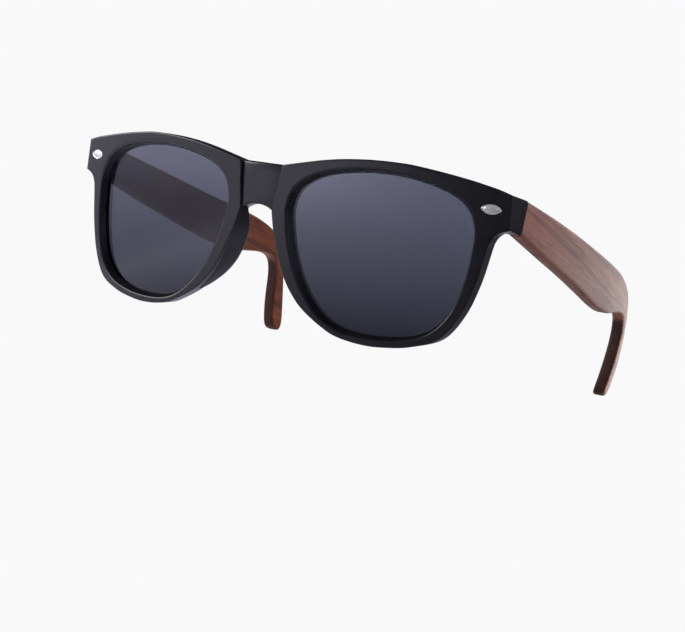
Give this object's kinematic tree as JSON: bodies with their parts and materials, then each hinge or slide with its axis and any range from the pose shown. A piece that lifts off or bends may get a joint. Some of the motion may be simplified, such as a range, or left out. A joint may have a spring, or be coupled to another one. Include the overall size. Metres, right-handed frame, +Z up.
{
  "type": "sunglasses",
  "caption": "Sunglasses with a black plastic front, dark tinted lenses, almond-shaped metal rivets and walnut temples that fold on sprung hinges.",
  "frame": {"origin": "middle of the open sunglasses on the floor plane they stand on, with rims and temple tips down", "axes": "+X to the wearer's left, +Y from the front to the temple tips, +Z up; the lenses face -Y"},
  "size_m": [0.1534, 0.1469, 0.0519],
  "materials": {
    "frame": "satin-gloss black acetate",
    "lens": "dark grey-blue tint, polished",
    "rivet": "polished silver",
    "hinge": "plain steel",
    "screw": "plain steel",
    "spring": "spring wire",
    "walnut": "oiled walnut, grain along the board"
  },
  "bodies": {
    "front": {"front_frame": "frame", "lens_left": "lens", "lens_right": "lens", "rivet_left": "rivet", "rivet_right": "rivet", "hinge_leaf_left": "hinge", "hinge_leaf_right": "hinge", "hinge_screw_left": "screw", "hinge_screw_right": "screw"},
    "left_carriage": {"hinge_carriage_left": "hinge", "spring_stop_left": "hinge"},
    "left_temple": {"temple_left": "walnut", "hinge_housing_left": "hinge", "housing_screws_left": "screw", "hinge_spring_left": "spring"},
    "right_carriage": {"hinge_carriage_right": "hinge", "spring_stop_right": "hinge"},
    "right_temple": {"temple_right": "walnut", "hinge_housing_right": "hinge", "housing_screws_right": "screw", "hinge_spring_right": "spring"}
  },
  "joints": [
    {"name": "left_fold", "type": "hinge", "parent": "front", "child": "left_carriage", "pos_m": [0.06752, -0.05153, 0.04285], "axis": [0, -0.0601, 0.9982], "range_deg": [0, 92]},
    {"name": "left_pull", "type": "slide", "parent": "left_carriage", "child": "left_temple", "axis": [0.0906, 0.9949, -0.0444], "range_m": [0, 0.001], "stiffness_N_per_m": 2500, "springref_m": -0.002, "deforming": ["hinge_spring_left"]},
    {"name": "right_fold", "type": "hinge", "parent": "front", "child": "right_carriage", "pos_m": [-0.06752, -0.05153, 0.04285], "axis": [0, 0.0601, -0.9982], "range_deg": [0, 71]},
    {"name": "right_pull", "type": "slide", "parent": "right_carriage", "child": "right_temple", "axis": [-0.0906, 0.9949, -0.0444], "range_m": [0, 0.001], "stiffness_N_per_m": 2500, "springref_m": -0.002, "deforming": ["hinge_spring_right"]}
  ]
}
